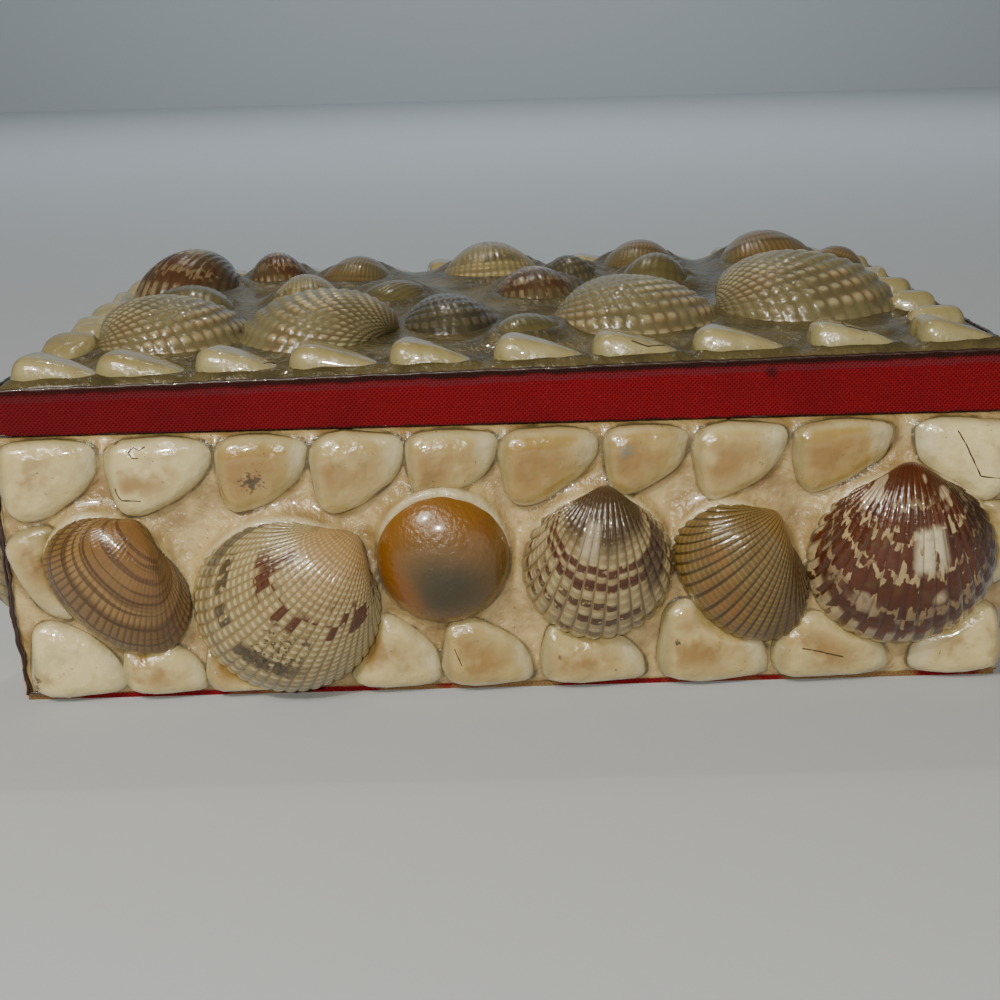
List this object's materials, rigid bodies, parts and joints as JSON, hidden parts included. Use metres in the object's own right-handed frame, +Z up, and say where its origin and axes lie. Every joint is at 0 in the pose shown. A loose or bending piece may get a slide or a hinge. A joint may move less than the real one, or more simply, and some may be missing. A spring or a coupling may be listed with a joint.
{
  "type": "shell box",
  "caption": "Small rectangular trinket box covered in sea shells set in cream glue, with a shallow lift-off lid edged in red cloth tape.",
  "frame": {"origin": "middle of the underside, on the flat cloth that the box stands on", "axes": "+X to the right seen from the front, +Y from the front into the depth, +Z up"},
  "size_m": [0.1674, 0.1186, 0.0624],
  "materials": {
    "card": "plain brown card, matt",
    "red_cloth": "crimson plain-weave bookbinding cloth",
    "glue_bed": "cream glue and ivory wedge shells under gloss varnish",
    "lid_glue_bed": "thick grey-olive varnish and ivory wedge shells",
    "tan_shell": "tan brown ribbed shell, varnished",
    "cream_shell": "cream shell with red-brown dashes, varnished",
    "cats_eye": "polished amber cat's-eye with an olive-grey middle",
    "reddish_shell": "cream ribs with rows of red-brown blocks, varnished",
    "golden_shell": "golden olive-brown ribbed shell, varnished",
    "dark_shell": "dark red-brown and white zigzags, varnished",
    "beaded_shell": "cream and grey beaded ribs, varnished",
    "olive_shell": "olive brown shell, varnished",
    "grey_shell": "dark grey beaded shell, varnished"
  },
  "bodies": {
    "root": {"base_cloth": "red_cloth", "box_tray": "card", "lid_card": "card", "lid_tape": "red_cloth", "front_bed": "glue_bed", "back_bed": "glue_bed", "left_bed": "glue_bed", "right_bed": "glue_bed", "lid_bed": "lid_glue_bed", "front_tan_ark": "tan_shell", "front_cream_cockle": "cream_shell", "front_cats_eye": "cats_eye", "front_speckled_cockle": "reddish_shell", "front_golden_ark": "golden_shell", "front_dark_cockle": "dark_shell", "back_cockle_1": "reddish_shell", "back_cockle_2": "cream_shell", "back_golden_ark": "golden_shell", "back_cats_eye": "cats_eye", "back_cockle_3": "dark_shell", "back_tan_ark": "tan_shell", "left_cockle_1": "tan_shell", "left_cockle_2": "cream_shell", "left_cockle_3": "dark_shell", "left_cockle_4": "reddish_shell", "right_cockle_1": "reddish_shell", "right_cockle_2": "golden_shell", "right_cockle_3": "cream_shell", "right_cockle_4": "tan_shell", "lid_shell_01": "beaded_shell", "lid_shell_02": "beaded_shell", "lid_shell_03": "grey_shell", "lid_shell_04": "olive_shell", "lid_shell_05": "beaded_shell", "lid_shell_06": "beaded_shell", "lid_shell_07": "olive_shell", "lid_shell_08": "cream_shell", "lid_shell_09": "olive_shell", "lid_shell_10": "dark_shell", "lid_shell_11": "olive_shell", "lid_shell_12": "tan_shell", "lid_shell_13": "dark_shell", "lid_shell_14": "dark_shell", "lid_shell_15": "tan_shell", "lid_shell_16": "cream_shell", "lid_shell_17": "grey_shell", "lid_shell_18": "tan_shell", "lid_shell_19": "tan_shell"}
  },
  "joints": []
}
